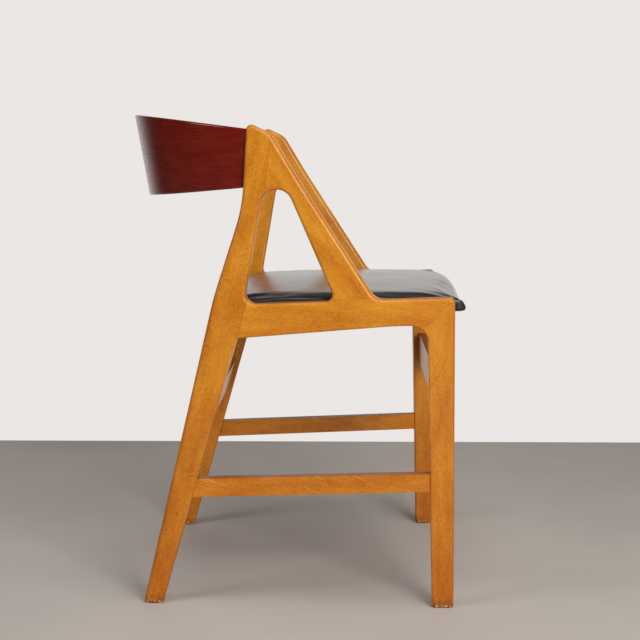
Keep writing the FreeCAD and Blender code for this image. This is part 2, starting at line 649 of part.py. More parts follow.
BOARD_OUTLINE = [
    ("board_front_right", -board_half(BOARD_NOSE), BOARD_NOSE, BOARD_CORNER_RADIUS),
    ("board_front_left", board_half(BOARD_NOSE), BOARD_NOSE, BOARD_CORNER_RADIUS),
    ("board_rear_left", board_half(BOARD_TAIL), BOARD_TAIL, BOARD_CORNER_RADIUS),
    ("board_rear_right", -board_half(BOARD_TAIL), BOARD_TAIL, BOARD_CORNER_RADIUS),
]
board_sketch = doc.addObject("Sketcher::SketchObject", "board_outline")
fill_sketch(board_sketch, "", BOARD_OUTLINE)
board_sketch.Placement = FreeCAD.Placement(
    V(0, SIZES["frame_front"], PAD_LOW + SIZES["cover_thickness"]), FreeCAD.Rotation())
board_blank = extrude("board_blank", board_sketch, "@board_thickness")
seat_cover = boolean("Cut", "seat_cover", pad_outside, pad_inside, seat_underside, seat_screws)
seat_board = boolean("Cut", "seat_board", board_blank, seat_screws)
seat_foam = boolean("Cut", "seat_foam", pad_inside, board_blank)

# ------------------------------------------------------------ left side, and what is written

RIGHT_PIECES = [right_front_leg, right_rear_leg, right_arm_brace, right_side_rail,
                right_side_stretcher, right_seat_cleat, right_frame_dowels]
PIECES = list(RIGHT_PIECES)
for piece in RIGHT_PIECES:
    PIECES.append(mirrored(piece.Name.replace("right_", "left_"), piece))
PIECES += [front_rail, rear_rail, cross_rail_dowels, cleat_screws, seat_screws, backrest,
           seat_board, seat_foam, seat_cover, seat_underside]
doc.recompute()

for thing in doc.Objects:
    if "Invalid" in thing.State or "Error" in thing.State:
        raise RuntimeError("%s failed: %s" % (thing.Name, thing.State))
for piece in PIECES:
    if piece.Shape.isNull() or not piece.Shape.isValid():
        raise RuntimeError("%s has no sound shape" % piece.Name)

os.makedirs("parts", exist_ok=True)
for piece in PIECES:
    piece.Label = piece.Name
    piece.Shape.exportStep("parts/%s.step" % piece.Label)
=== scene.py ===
"""Beech dining chair with a wrapped veneer backrest and a black leather seat pad.

Sizes are in metres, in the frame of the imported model: the sitter faces -Y, and Z is up.
"""
from math import atan2, cos, hypot, pi, radians, sin, sqrt

import bmesh
import bpy
from bpy.props import FloatProperty, FloatVectorProperty, IntProperty, PointerProperty
from mathutils import Euler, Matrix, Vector, noise


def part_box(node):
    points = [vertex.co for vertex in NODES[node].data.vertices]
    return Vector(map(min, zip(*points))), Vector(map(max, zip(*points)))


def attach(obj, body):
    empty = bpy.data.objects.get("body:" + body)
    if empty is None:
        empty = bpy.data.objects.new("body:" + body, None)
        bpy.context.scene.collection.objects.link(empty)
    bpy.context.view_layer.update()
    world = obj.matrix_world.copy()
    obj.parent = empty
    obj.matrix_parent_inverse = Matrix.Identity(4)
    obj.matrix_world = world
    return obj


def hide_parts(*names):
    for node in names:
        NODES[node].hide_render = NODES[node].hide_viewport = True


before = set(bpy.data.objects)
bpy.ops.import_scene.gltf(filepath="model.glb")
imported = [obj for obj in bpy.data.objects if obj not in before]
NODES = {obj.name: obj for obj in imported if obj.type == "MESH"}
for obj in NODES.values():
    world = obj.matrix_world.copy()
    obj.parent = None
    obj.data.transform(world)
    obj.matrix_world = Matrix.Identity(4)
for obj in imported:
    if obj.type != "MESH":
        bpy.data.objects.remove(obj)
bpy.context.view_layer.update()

bl_info = {
    "name": "Beech dining chair",
    "version": (1, 0, 0),
    "blender": (4, 5, 0),
    "location": "View3D > Sidebar > Chair",
    "description": "Finishes the parts of a beech dining chair, upholsters its seat and lights it",
    "category": "Object",
}

MM = 0.001
WAVES_PER_METRE = 2 * pi / 20             # scale of a Wave Texture with waves 1 m apart


def linear(code):
    """The scene-linear colour of an sRGB hex code such as #D9922F."""
    channels = [int(code[i:i + 2], 16) / 255 for i in (1, 3, 5)]
    return tuple(c / 12.92 if c <= 0.04045 else ((c + 0.055) / 1.055) ** 2.4 for c in channels)


# ------------------------------------------------------------------- settings of the chair


class BeechSettings(bpy.types.PropertyGroup):
    """The lacquered beech of the side frames and rails."""
    honey: FloatVectorProperty(
        name="Honey", description="Palest tone of the lacquered beech",
        subtype="COLOR", size=3, min=0, max=1, default=linear("#DEA02C"))
    amber: FloatVectorProperty(
        name="Amber", description="Darkest broad tone of the lacquered beech",
        subtype="COLOR", size=3, min=0, max=1, default=linear("#C67E18"))
    fleck: FloatVectorProperty(
        name="Fleck", description="Colour of the ray flecks and of grime in the grain",
        subtype="COLOR", size=3, min=0, max=1, default=linear("#7E4712"))
    ring_width: FloatProperty(
        name="Ring width", description="Width of one growth ring",
        subtype="DISTANCE", unit="LENGTH", min=0.0005, max=0.01, default=2.6 * MM)
    fleck_length: FloatProperty(
        name="Fleck length", description="Length of one ray fleck along the grain",
        subtype="DISTANCE", unit="LENGTH", min=0.001, max=0.02, default=5 * MM)
    gloss: FloatProperty(
        name="Lacquer roughness", description="Roughness of the lacquer film",
        subtype="FACTOR", min=0, max=1, default=0.23)


class VeneerSettings(bpy.types.PropertyGroup):
    """The veneered plywood backrest."""
    red: FloatVectorProperty(
        name="Red brown", description="Main tone of the veneer",
        subtype="COLOR", size=3, min=0, max=1, default=linear("#7C1506"))
    dark: FloatVectorProperty(
        name="Dark streak", description="Tone of the veneer's dark streaks",
        subtype="COLOR", size=3, min=0, max=1, default=linear("#440B05"))
    streak: FloatProperty(
        name="Streak height", description="Height of one streak of the grain",
        subtype="DISTANCE", unit="LENGTH", min=0.0005, max=0.02, default=1.4 * MM)
    ply: FloatProperty(
        name="Ply thickness", description="Thickness of one ply seen on the edges",
        subtype="DISTANCE", unit="LENGTH", min=0.0005, max=0.005, default=1.35 * MM)
    gloss: FloatProperty(
        name="Lacquer roughness", description="Roughness of the lacquer film",
        subtype="FACTOR", min=0, max=1, default=0.16)


class SeatSettings(bpy.types.PropertyGroup):
    """The upholstered seat pad."""
    leather: FloatVectorProperty(
        name="Leather", description="Colour of the dyed leather",
        subtype="COLOR", size=3, min=0, max=1, default=linear("#1B1819"))
    pore: FloatProperty(
        name="Leather grain", description="Width of one cell of the leather's grain",
        subtype="DISTANCE", unit="LENGTH", min=0.0003, max=0.005, default=1.1 * MM)
    crown: FloatProperty(
        name="Crown", description="How far the middle of the pad stands above its sides",
        subtype="DISTANCE", unit="LENGTH", min=0, max=0.03, default=10 * MM)
    roll: FloatProperty(
        name="Edge roll", description="Radius of the rolled side edges",
        subtype="DISTANCE", unit="LENGTH", min=0.004, max=0.02, default=5 * MM)
    pressure: FloatProperty(
        name="Stuffing pressure", description="Pressure that the foam puts on the leather",
        min=0, max=20, default=4)
    pleats: IntProperty(
        name="Pleats", description="Gathers round each front corner",
        min=0, max=15, default=8)
    pleat_depth: FloatProperty(
        name="Pleat depth", description="Depth of the gathers at the front corners",
        subtype="DISTANCE", unit="LENGTH", min=0, max=0.004, default=0.9 * MM)


class StudioSettings(bpy.types.PropertyGroup):
    """The floor, the light and the camera."""
    floor: FloatVectorProperty(
        name="Floor", description="Colour of the painted floor",
        subtype="COLOR", size=3, min=0, max=1, default=linear("#C6BFB8"))
    surround: FloatVectorProperty(
        name="Surround", description="Colour of the bright surroundings",
        subtype="COLOR", size=3, min=0, max=1, default=linear("#EBE7E4"))
    room: FloatVectorProperty(
        name="Room", description="Colour of the dim side of the room, in front of the chair's side",
        subtype="COLOR", size=3, min=0, max=1, default=linear("#38332F"))
    key_power: FloatProperty(
        name="Key light", description="Power of the large light at the chair's front",
        subtype="POWER", unit="POWER", min=0, max=500, default=60)
    fill_power: FloatProperty(
        name="Fill light", description="Power of the soft light at the chair's back",
        subtype="POWER", unit="POWER", min=0, max=500, default=22)
    top_power: FloatProperty(
        name="Ceiling light", description="Power of the wide light above the chair",
        subtype="POWER", unit="POWER", min=0, max=500, default=30)
    lens: FloatProperty(
        name="Lens", description="Focal length on a 36 mm wide sensor, in millimetres",
        min=20, max=200, default=80.1)


# ---------------------------------------------------------------------- material helpers


def add_node(tree, kind, inputs=None, out=0, **settings):
    """Adds a node, sets its properties, and fills or links its inputs.

    It returns one output, or the node itself where out is None. Inputs go by name or by number:
    a colour Mix has its factor at 0 and its colours at 6 and 7, and its result is output 2.
    Output 3 of TexCoord is the place on the object.
    """
    node = tree.nodes.new("ShaderNode" + kind)
    for name, value in settings.items():
        setattr(node, name, value)
    for socket, value in (inputs or {}).items():
        if isinstance(value, bpy.types.NodeSocket):
            tree.links.new(value, node.inputs[socket])
        else:
            node.inputs[socket].default_value = value
    return node if out is None else node.outputs[out]


def start_material(name, colour, **sockets):
    """A new material with its shader; sockets are values that hold all over the surface."""
    material = bpy.data.materials.new(name)
    material.use_nodes = True
    tree = material.node_tree
    tree.nodes.clear()
    shader = add_node(tree, "BsdfPrincipled", out=None)
    shader.inputs["Base Color"].default_value = (*colour, 1)
    for socket, value in sockets.items():
        shader.inputs[socket.replace("_", " ")].default_value = value
    add_node(tree, "OutputMaterial", {"Surface": shader.outputs["BSDF"]}, out=None)
    return material, tree, shader


def finish_node(node, material):
    """Gives one finish to every face of a CAD part."""
    if not NODES[node].material_slots:
        raise ValueError(f"{node} has no slot for a material")
    for place in NODES[node].material_slots:
        place.link = "OBJECT"
        place.material = material


# --------------------------------------------------------------------- the chair's woods


def lacquered_beech(name, grain_turn, figure, silk, settings):
    """Beech, planed, sanded and lacquered amber.

    The eye sees a warm honey ground with soft cloudy tones, faint growth rings, short dark ray
    flecks along the grain and, on quarter-cut faces, fine bars of figure across it, all under
    a clear film that draws a pale line along each rounded edge. The sharp edges are dark, partly
    with painted shade and partly where stain and polish have gathered. The lower legs and the
    faces that look up are darkened with painted shade. grain_turn is the turn that brings the
    member's grain upright. figure is the strength of the dark bars and silk that of the pale
    slanting rays, from 0 to 1.
    """
    material, tree, shader = start_material(
        name, settings.amber, IOR=1.52, Specular_IOR_Level=0.15, Roughness=0.42,
        Coat_Weight=0.5, Coat_Roughness=settings.gloss, Coat_IOR=1.5,
        Coat_Tint=(*linear("#FFE6BE"), 1))
    place = add_node(tree, "TexCoord", out=3)
    grain = add_node(tree, "VectorRotate", {"Vector": place, "Rotation": grain_turn},
                     rotation_type="EULER_XYZ")
    slant = add_node(tree, "VectorRotate", {"Vector": grain, "Rotation": (radians(-24), 0, 0)},
                     rotation_type="EULER_XYZ")

    # Each pattern is a cloud. It has the size of its cells in millimetres (in depth, across and
    # along the grain), its detail, and the noise values at which it begins and is full.
    clouds = {}
    for cloud, space, cell, detail, begins, full in (
            ("tone", grain, (22, 22, 90), 3, 0.32, 0.68),
            ("wander", grain, (30, 30, 160), 2, 0.0, 1.0),
            # Ray flecks are 1 to 3 mm long, and drawn a little coarser so that they show.
            ("flecks", grain, (1.3, 1.3, settings.fleck_length / MM), 1, 0.58, 0.76),
            # Fibres dip in and out of the face, and some catch the light as pale specks.
            ("mottle", grain, (2.2, 2.2, 6), 2, 0.36, 0.64),
            ("specks", grain, (1.6, 1.6, 3.2), 1, 0.56, 0.74),
            # Silk: rays that lie nearly in the face, 3 mm wide and 40 mm long, in a few places.
            ("rays", slant, (30, 3, 40), 1, 0.52, 0.7),
            ("silk_places", grain, (60, 60, 90), 1, 0.5, 0.64),
            # Figure: rays cut lengthways, 8 mm across the grain and 1.6 mm along it.
            ("bars", grain, (9, 9, 1.6), 1, 0.44, 0.66),
            ("bar_places", grain, (14, 14, 60), 2, 0.42, 0.66),
            ("dirt", grain, (6, 6, 6), 3, 0.3, 0.7),
            ("chips", grain, (4, 4, 4), 2, 0.52, 0.6),
            ("fibres", grain, (0.9, 0.9, 22), 3, 0.0, 1.0)):
        spread = add_node(tree, "Mapping", {
            "Vector": space, "Scale": tuple(1 / (size * MM) for size in cell)})
        value = add_node(tree, "TexNoise", {"Vector": spread, "Scale": 1.0, "Detail": detail,
                                            "Roughness": 0.55})
        clouds[cloud] = add_node(tree, "MapRange", {
            "Value": value, "From Min": begins, "From Max": full})

    # Growth rings round a pith well outside the plank, with the width of a slow-grown beech.
    rings = add_node(tree, "TexWave", {
        "Vector": add_node(tree, "Mapping", {"Vector": grain, "Location": (0.06, 0.025, 0),
                                             "Scale": (1, 1, 0.04)}),
        "Scale": WAVES_PER_METRE / settings.ring_width, "Distortion": 5.0, "Detail": 3,
        "Detail Scale": 1.6,
        "Phase Offset": add_node(tree, "Math", {0: clouds["wander"], 1: 9.0},
                                 operation="MULTIPLY")},
        out=1, wave_type="RINGS", rings_direction="Z")
    late_wood = add_node(tree, "MapRange", {"Value": rings, "From Min": 0.3, "From Max": 1})
    silk_rays = add_node(tree, "Math", {0: clouds["rays"], 1: clouds["silk_places"]},
                         operation="MULTIPLY")
    bars = add_node(tree, "Math", {0: clouds["bars"], 1: clouds["bar_places"]},
                    operation="MULTIPLY")
    dips = add_node(tree, "MapRange", {"Value": clouds["mottle"], "From Min": 1, "From Max": 0})

    # The lower legs are darkened towards the floor with painted shade, and the last 15 mm
    # is scuffed, grimy and chipped.
    height = add_node(tree, "SeparateXYZ", {"Vector": place}, out=2)
    low_leg_shade = add_node(tree, "MapRange", {"Value": height, "From Min": 0.42, "From Max": 0.0})
    ragged = add_node(tree, "Math", {0: clouds["dirt"], 1: -12 * MM, 2: height},
                      operation="MULTIPLY_ADD")
    scuff = add_node(tree, "MapRange", {"Value": ragged, "From Min": 7 * MM,
                                        "From Max": -4 * MM})
    rim = add_node(tree, "MapRange", {"Value": height, "From Min": 8 * MM, "From Max": 3 * MM})
    chipped = add_node(tree, "Math", {0: clouds["chips"], 1: rim}, operation="MULTIPLY")

    # A rounded copy of the normal differs from the true one only beside a sharp edge.
    normal = add_node(tree, "NewGeometry", out=1)
    rounded = add_node(tree, "Bevel", {"Radius": 1.3 * MM}, samples=6)
    agree = add_node(tree, "VectorMath", {0: normal, 1: rounded}, out=1,
                     operation="DOT_PRODUCT")
    # Painted shade, with stain and polish gathered there, darkens the sharp edges.
    edges = add_node(tree, "MapRange", {"Value": agree, "From Min": 0.985, "From Max": 0.8})
    # Level faces that look up are darkened with painted shade, and dust dulls their film.
    facing = add_node(tree, "SeparateXYZ", {"Vector": normal}, out=2)
    upward_shade_and_dust = add_node(tree, "MapRange", {"Value": facing, "From Min": 0.93, "From Max": 0.99})

    colour = (*settings.amber, 1)
    for share, strength, tint, kind in (
            (clouds["tone"], 1, settings.honey, "MIX"),
            (late_wood, 0.1, settings.amber, "MULTIPLY"),
            (dips, 0.26, settings.amber, "MULTIPLY"),
            (clouds["flecks"], 0.26, settings.fleck, "MIX"),
            (silk_rays, silk, linear("#F2C068"), "MIX"),
            (bars, figure, settings.fleck, "MIX"),
            # Painted shade: the lower legs darken towards the floor.
            (low_leg_shade, 0.75, linear("#E6BE8E"), "MULTIPLY"),
            (clouds["specks"], 0.3, linear("#F0B450"), "MIX"),
            # Painted shade and gathered stain and polish on the sharp edges:
            (edges, 0.5, linear("#6E3210"), "MIX"),
            # Painted shade on faces that look up:
            (upward_shade_and_dust, 0.6, linear("#7A3A14"), "MIX"),
            (scuff, 0.6, linear("#5A3418"), "MIX"),
            (chipped, 0.8, linear("#D8BC98"), "MIX")):
        amount = add_node(tree, "Math", {0: share, 1: strength}, operation="MULTIPLY")
        colour = add_node(tree, "Mix", {0: amount, 6: colour, 7: (*tint, 1)}, out=2,
                          data_type="RGBA", blend_type=kind)
    tree.links.new(colour, shader.inputs["Base Color"])

    # Wiping and handling leave the film slightly uneven, and dust dulls what faces up.
    film = add_node(tree, "MapRange", {"Value": clouds["tone"], "To Min": 0.36, "To Max": 0.48})
    tree.links.new(film, shader.inputs["Roughness"])
    gloss = add_node(tree, "MapRange", {"Value": upward_shade_and_dust, "To Min": 0.5, "To Max": 0.08})
    tree.links.new(gloss, shader.inputs["Coat Weight"])
    relief = add_node(tree, "Math", {0: clouds["fibres"], 1: clouds["flecks"]},
                      operation="SUBTRACT")
    grain_bump = add_node(tree, "Bump", {"Height": relief, "Strength": 0.35,
                                         "Distance": 0.06 * MM})
    tree.links.new(grain_bump, shader.inputs["Normal"])
    return material


UPRIGHT = (0.0, 0.0, 0.0)
LENGTHWAYS = (pi / 2, 0.0, 0.0)          # grain along Y
CROSSWAYS = (0.0, -pi / 2, 0.0)          # grain along X
REAR_LEAN = (radians(-12.3), 0.0, 0.0)
BRACE_LEAN = (radians(34.3), 0.0, 0.0)


class CHAIR_OT_lacquer_frame(bpy.types.Operator):
    """Lacquers the beech side frames and cross rails, each with its own run of grain"""
    bl_idname = "chair.lacquer_frame"
    bl_label = "Lacquer the beech frame"

    def execute(self, context):
        look = context.scene.chair_beech
        members = [
            ("front_leg", "Lacquered beech, front leg", UPRIGHT, 0.1, 0.1),
            ("rear_leg", "Lacquered beech, rear leg", REAR_LEAN, 0.42, 0.1),
            ("arm_brace", "Lacquered beech, brace", BRACE_LEAN, 0.1, 0.15),
            ("side_rail", "Lacquered beech, side rail", LENGTHWAYS, 0.15, 0.1),
            ("side_stretcher", "Lacquered beech, stretcher", LENGTHWAYS, 0.15, 0.5),
        ]
        for part, name, turn, figure, silk in members:
            finish = lacquered_beech(name, turn, figure, silk, look)
            for side in ("right_", "left_"):
                finish_node(side + part, finish)
        cross = lacquered_beech("Lacquered beech, cross rail", CROSSWAYS, 0.15, 0.2, look)
        for part in ("front_rail", "rear_rail"):
            finish_node(part, cross)
        return {"FINISHED"}


# ------------------------------------------------------------------------- the backrest

SHELL_RADIUS = 237.5 * MM                # outer face of the bent shell
SHELL_LEAN = radians(10.3)
SHELL_REAR = (258.0 * MM, 726.0 * MM)    # its highest rear point


def bent_veneer(settings):
    """Mahogany veneer on a bent plywood shell, rubbed and lacquered glossy.

    The eye sees deep red brown with fine level streaks that run round the bend, slow changes
    of tone along them, tiny dark pores, and paler plies on the cut edges.
    """
    material, tree, shader = start_material(
        "Mahogany veneer, lacquered", settings.red, IOR=1.52, Specular_IOR_Level=0.15,
        Roughness=0.34, Coat_Weight=0.65, Coat_Roughness=settings.gloss, Coat_IOR=1.5)
    place = add_node(tree, "TexCoord", out=3)
    # Stand the leaning shell upright about its bend's axis, then unroll it.
    middle = (0.0, SHELL_REAR[0] - SHELL_RADIUS, SHELL_REAR[1])
    upright = add_node(tree, "VectorRotate", {"Vector": place, "Center": (0.0, *SHELL_REAR),
                                              "Rotation": (SHELL_LEAN, 0, 0)},
                       rotation_type="EULER_XYZ")
    local = add_node(tree, "VectorMath", {0: upright, 1: middle}, operation="SUBTRACT")
    parts = add_node(tree, "SeparateXYZ", {"Vector": local}, out=None)
    turn = add_node(tree, "Math", {0: parts.outputs[0], 1: parts.outputs[1]},
                    operation="ARCTAN2")
    round_bend = add_node(tree, "Math", {0: turn, 1: SHELL_RADIUS}, operation="MULTIPLY")
    reach = add_node(tree, "VectorMath", {0: add_node(tree, "CombineXYZ", {
        0: parts.outputs[0], 1: parts.outputs[1]})}, out=1, operation="LENGTH")
    level = add_node(tree, "SeparateXYZ", {"Vector": place}, out=2)
    sheet = add_node(tree, "CombineXYZ", {0: round_bend, 1: level})

    clouds = {}
    for cloud, along, up, detail, begins, full in (
            # Fine level streaks, about 50 mm long.
            ("streaks", 50 * MM, settings.streak, 4, 0.34, 0.6),
            # Broad ribbons where the interlocked grain turns, about 40 mm long.
            ("ribbons", 38 * MM, 16 * MM, 2, 0.42, 0.72),
            # Pores are 0.2 mm wide and 3 mm long, drawn 0.7 mm wide so that they show.
            ("pores", 6 * MM, 0.7 * MM, 1, 0.6, 0.74)):
        spread = add_node(tree, "Mapping", {"Vector": sheet, "Scale": (1 / along, 1 / up, 1)})
        value = add_node(tree, "TexNoise", {"Vector": spread, "Scale": 1.0, "Detail": detail,
                                            "Roughness": 0.6})
        clouds[cloud] = add_node(tree, "MapRange", {
            "Value": value, "From Min": begins, "From Max": full})
    # The top and bottom edges are cut across the plies.
    normal = add_node(tree, "NewGeometry", out=1)
    up_axis = Euler((-SHELL_LEAN, 0, 0)).to_matrix() @ Vector((0, 0, 1))
    steep = add_node(tree, "VectorMath", {0: normal, 1: tuple(up_axis)}, out=1,
                     operation="DOT_PRODUCT")
    edge = add_node(tree, "MapRange", {
        "Value": add_node(tree, "Math", {0: steep}, operation="ABSOLUTE"),
        "From Min": 0.6, "From Max": 0.8})
    wave = add_node(tree, "Math", {0: add_node(tree, "Math", {
        0: reach, 1: pi / settings.ply}, operation="MULTIPLY")}, operation="SINE")
    plies = add_node(tree, "MapRange", {"Value": wave, "From Min": -0.4, "From Max": 0.4})
    ply_tone = add_node(tree, "Mix", {0: plies, 6: (*linear("#4E1B10"), 1),
                                      7: (*linear("#8E4A2C"), 1)}, out=2, data_type="RGBA")
    colour = (*settings.dark, 1)
    for share, strength, tint in (
            (clouds["streaks"], 1, (*settings.red, 1)),
            (clouds["ribbons"], 0.35, (*linear("#8A2C12"), 1)),
            (clouds["pores"], 0.6, (*linear("#260907"), 1)),
            (edge, 1, ply_tone)):
        amount = add_node(tree, "Math", {0: share, 1: strength}, operation="MULTIPLY")
        colour = add_node(tree, "Mix", {0: amount, 6: colour, 7: tint}, out=2,
                          data_type="RGBA")
    tree.links.new(colour, shader.inputs["Base Color"])

    rough = add_node(tree, "MapRange", {"Value": clouds["streaks"], "To Min": 0.4,
                                        "To Max": 0.28})
    tree.links.new(rough, shader.inputs["Roughness"])
    relief = add_node(tree, "Math", {0: clouds["streaks"], 1: clouds["pores"]},
                      operation="SUBTRACT")
    tree.links.new(add_node(tree, "Bump", {"Height": relief, "Strength": 0.3,
                                           "Distance": 0.05 * MM}), shader.inputs["Normal"])
    return material


class CHAIR_OT_veneer_backrest(bpy.types.Operator):
    """Lays mahogany veneer round the bent backrest"""
    bl_idname = "chair.veneer_backrest"
    bl_label = "Veneer the backrest"

    def execute(self, context):
        finish_node("backrest", bent_veneer(context.scene.chair_veneer))
        return {"FINISHED"}


# --------------------------------------------------------------------------- the seat pad

(_, PAD_FRONT, PAD_BASE), (PAD_SIDE, PAD_REAR, PAD_TOP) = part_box("seat_cover")
LINING_LOW, LINING_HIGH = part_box("seat_underside")
PAD_LENGTH = PAD_REAR - PAD_FRONT
SIDE_GAP = 0.8 * MM                      # the pad's clearance from the side rails
TOE_IN = 0.0358                          # the pad's sides close in by this much per length
CORNER_RADIUS = 14 * MM                  # of the pad's plan
SUMMIT = 170 * MM                        # the pad is highest this far behind its nose
FRONT_FALL = 1.5 * MM                    # how much lower its middle is at the nose
REAR_FALL = 9.5 * MM                     # and this much lower at the tail
REAR_RUN = 190 * MM                      # over this length behind the summit
NOSE_REACH = 11 * MM                     # from the nose back to the level top
TAIL_REACH = 22 * MM
TUCK = 8 * MM                            # height of the roll under the nose and tail
HEEL = 4 * MM                            # radius of the sides' lower edges
NOSE_ZONE = 70 * MM                      # length over which the nose's shape fades out
NOSE_BOW = 10 * MM                       # how far the nose draws back beside its corners
NOSE_DROP = 4 * MM                       # how much lower the sides are at the nose
SWELL_CAP = 4 * MM                       # the most that the stuffing may move the leather
SWELL_FRAMES = 20
GATHER_IN = 24 * MM                      # the pleats' centre, in from the pad's side
GATHER_BACK = 26 * MM                    # and back from its nose
GATHER_REACH = 18 * MM                   # how far round that centre the pleats run
GATHER_HEART = 8 * MM                    # no pleats nearer to the centre than this


def half_width(back):
    """Half the pad's width at a distance behind its nose."""
    half = PAD_SIDE - SIDE_GAP - TOE_IN * back
    for gap in (back, PAD_LENGTH - back):
        if gap < CORNER_RADIUS:
            chord = max(0, CORNER_RADIUS ** 2 - (CORNER_RADIUS - gap) ** 2)
            half -= CORNER_RADIUS - sqrt(chord)
    return half


def crest(back):
    """Height of the pad's middle above its base: level, easing down towards the back."""
    forward = max(0.0, 1 - back / SUMMIT)
    rearward = max(0.0, (back - SUMMIT) / REAR_RUN)
    high = PAD_TOP - PAD_BASE - FRONT_FALL * forward ** 2 - REAR_FALL * rearward ** 2
    # The nose and the tail are superellipses, fuller than round.
    fullness = 2.5
    for gap, reach in ((back, NOSE_REACH), (PAD_LENGTH - back, TAIL_REACH)):
        if gap < reach:
            rise = max(0, 1 - (1 - gap / reach) ** fullness) ** (1 / fullness)
            high = TUCK + (high - TUCK) * rise
    return high


def floor_line(back):
    """How far the pad's underside has curved up at its nose and tail."""
    gap = min(back, PAD_LENGTH - back)
    if gap >= TUCK:
        return 0.0
    return TUCK * (1 - sqrt(max(0, 1 - (1 - gap / TUCK) ** 2)))


def quarter_turn(steps):
    """The sine and cosine at even steps over a right angle."""
    return [(sin(i / steps * pi / 2), cos(i / steps * pi / 2)) for i in range(steps + 1)]


def pad_section(back, seat):
    """The pad's cross section as a closed loop of points, from its lower left corner."""
    half, low, high = half_width(back), floor_line(back), crest(back)
    nose = max(0.0, 1 - back / NOSE_ZONE) ** 2
    crown = seat.crown + NOSE_DROP * nose
    wall = low + (high - low) * (1 - crown / (PAD_TOP - PAD_BASE))
    # Both radii shrink where the pad is thin, so that they never meet.
    roll = min(seat.roll, 0.48 * (wall - low))
    heel = min(HEEL, 0.3 * (wall - low))
    side = [(half - heel + heel * s, low + heel - heel * c) for s, c in quarter_turn(4)]
    side += [(half - roll + roll * c, wall - roll + roll * s) for s, c in quarter_turn(6)]
    other_side = [(-x, z) for x, z in reversed(side)]
    across = [2 * i / 24 - 1 for i in range(1, 24)]
    base = [((half - heel) * share, low) for share in across]
    across = [1 - 2 * i / 32 for i in range(1, 32)]
    top = [((half - roll) * share, wall + (high - wall) * (1 - share ** 2)) for share in across]
    # The leather is pulled back beside the gathered corners, and less in the middle.
    points = []
    for x, z in base + side + top + other_side:
        bow = (0.4 + (x / half) ** 2) * (1 - (x / half) ** 8)
        points.append((x, PAD_FRONT + back + NOSE_BOW * nose * bow, PAD_BASE + z))
    return points


def pad_shell(seat):
    """A closed mesh of the pad, lofted from its nose to its back edge."""
    # The sections stand closest together at both ends, where the outline turns fastest.
    end, spans = 0.6 * MM, 60
    places = [end + (PAD_LENGTH - 2 * end) * (0.5 - 0.5 * cos(pi * i / spans))
              for i in range(spans + 1)]
    mesh = bmesh.new()
    loops = [[mesh.verts.new(point) for point in pad_section(back, seat)] for back in places]
    for first, second in zip(loops, loops[1:]):
        for i, vert in enumerate(first):
            j = (i + 1) % len(first)
            mesh.faces.new((vert, first[j], second[j], second[i]))
    mesh.faces.new(reversed(loops[0]))
    mesh.faces.new(loops[-1])
    bmesh.ops.recalc_face_normals(mesh, faces=mesh.faces)
    data = bpy.data.meshes.new("seat_pad")
    mesh.to_mesh(data)
    mesh.free()
    return data


def apply_modifiers(piece):
    """Keeps the evaluated mesh and drops the modifiers."""
    view = bpy.context.evaluated_depsgraph_get()
    result = bpy.data.meshes.new_from_object(piece.evaluated_get(view))
    piece.modifiers.clear()
    piece.data = result


def stuff(piece, pressure):
    """Lets the foam swell the cover under pressure, with its underside held to the board."""
    scene = bpy.context.scene
    rest = [vert.co.copy() for vert in piece.data.vertices]
    held = piece.vertex_groups.new(name="held")
    for vert in piece.data.vertices:
        if vert.co.z < PAD_BASE + 2 * MM:
            held.add([vert.index], 1.0, "REPLACE")
    cloth = piece.modifiers.new("stuffing", "CLOTH")
    cloth.settings.use_pressure = True
    cloth.settings.uniform_pressure_force = pressure
    cloth.settings.effector_weights.gravity = 0
    cloth.settings.vertex_group_mass = "held"
    cloth.point_cache.frame_start, cloth.point_cache.frame_end = 1, SWELL_FRAMES
    for step in range(1, SWELL_FRAMES + 1):
        scene.frame_set(step)
    apply_modifiers(piece)
    scene.frame_set(1)
    piece.vertex_groups.clear()
    for vert, start in zip(piece.data.vertices, rest):
        moved = vert.co - start
        if moved.length > SWELL_CAP:
            vert.co = start + moved * (SWELL_CAP / moved.length)


def fit_to_board(piece):
    """Stretches the stuffed pad back to its full length and height."""
    front = min(vert.co.y for vert in piece.data.vertices)
    rear = max(vert.co.y for vert in piece.data.vertices)
    top = max(vert.co.z for vert in piece.data.vertices)
    for vert in piece.data.vertices:
        vert.co.y = PAD_FRONT + (vert.co.y - front) * PAD_LENGTH / (rear - front)
        vert.co.z = PAD_BASE + (vert.co.z - PAD_BASE) * (PAD_TOP - PAD_BASE) / (top - PAD_BASE)


def pleat(place, seat):
    """How far the leather is drawn in at a point by the gathers of a front corner."""
    # The pleats fan out round a point inside the corner, are deepest on its diagonal, and fade
    # up the roll.
    side = abs(place.x) - (PAD_SIDE - SIDE_GAP - GATHER_IN)
    front = GATHER_BACK - (place.y - PAD_FRONT)
    if min(side, front) <= -GATHER_REACH or hypot(side, front) <= GATHER_HEART:
        return 0.0
    turn = atan2(front, side)
    pleats_round = 4 * seat.pleats       # in a full turn, of which a corner is a quarter
    uneven = 1.5 * noise.noise(place / (11 * MM))
    fan = 0.5 + 0.5 * sin(pleats_round * turn + uneven)
    low = 1 - min(1, max(0, (place.z - PAD_BASE - 16 * MM) / (14 * MM)))
    spread = min(1, max(0, 1 - abs(turn - pi / 4) / (0.62 * pi)))
    return seat.pleat_depth * fan * low * spread


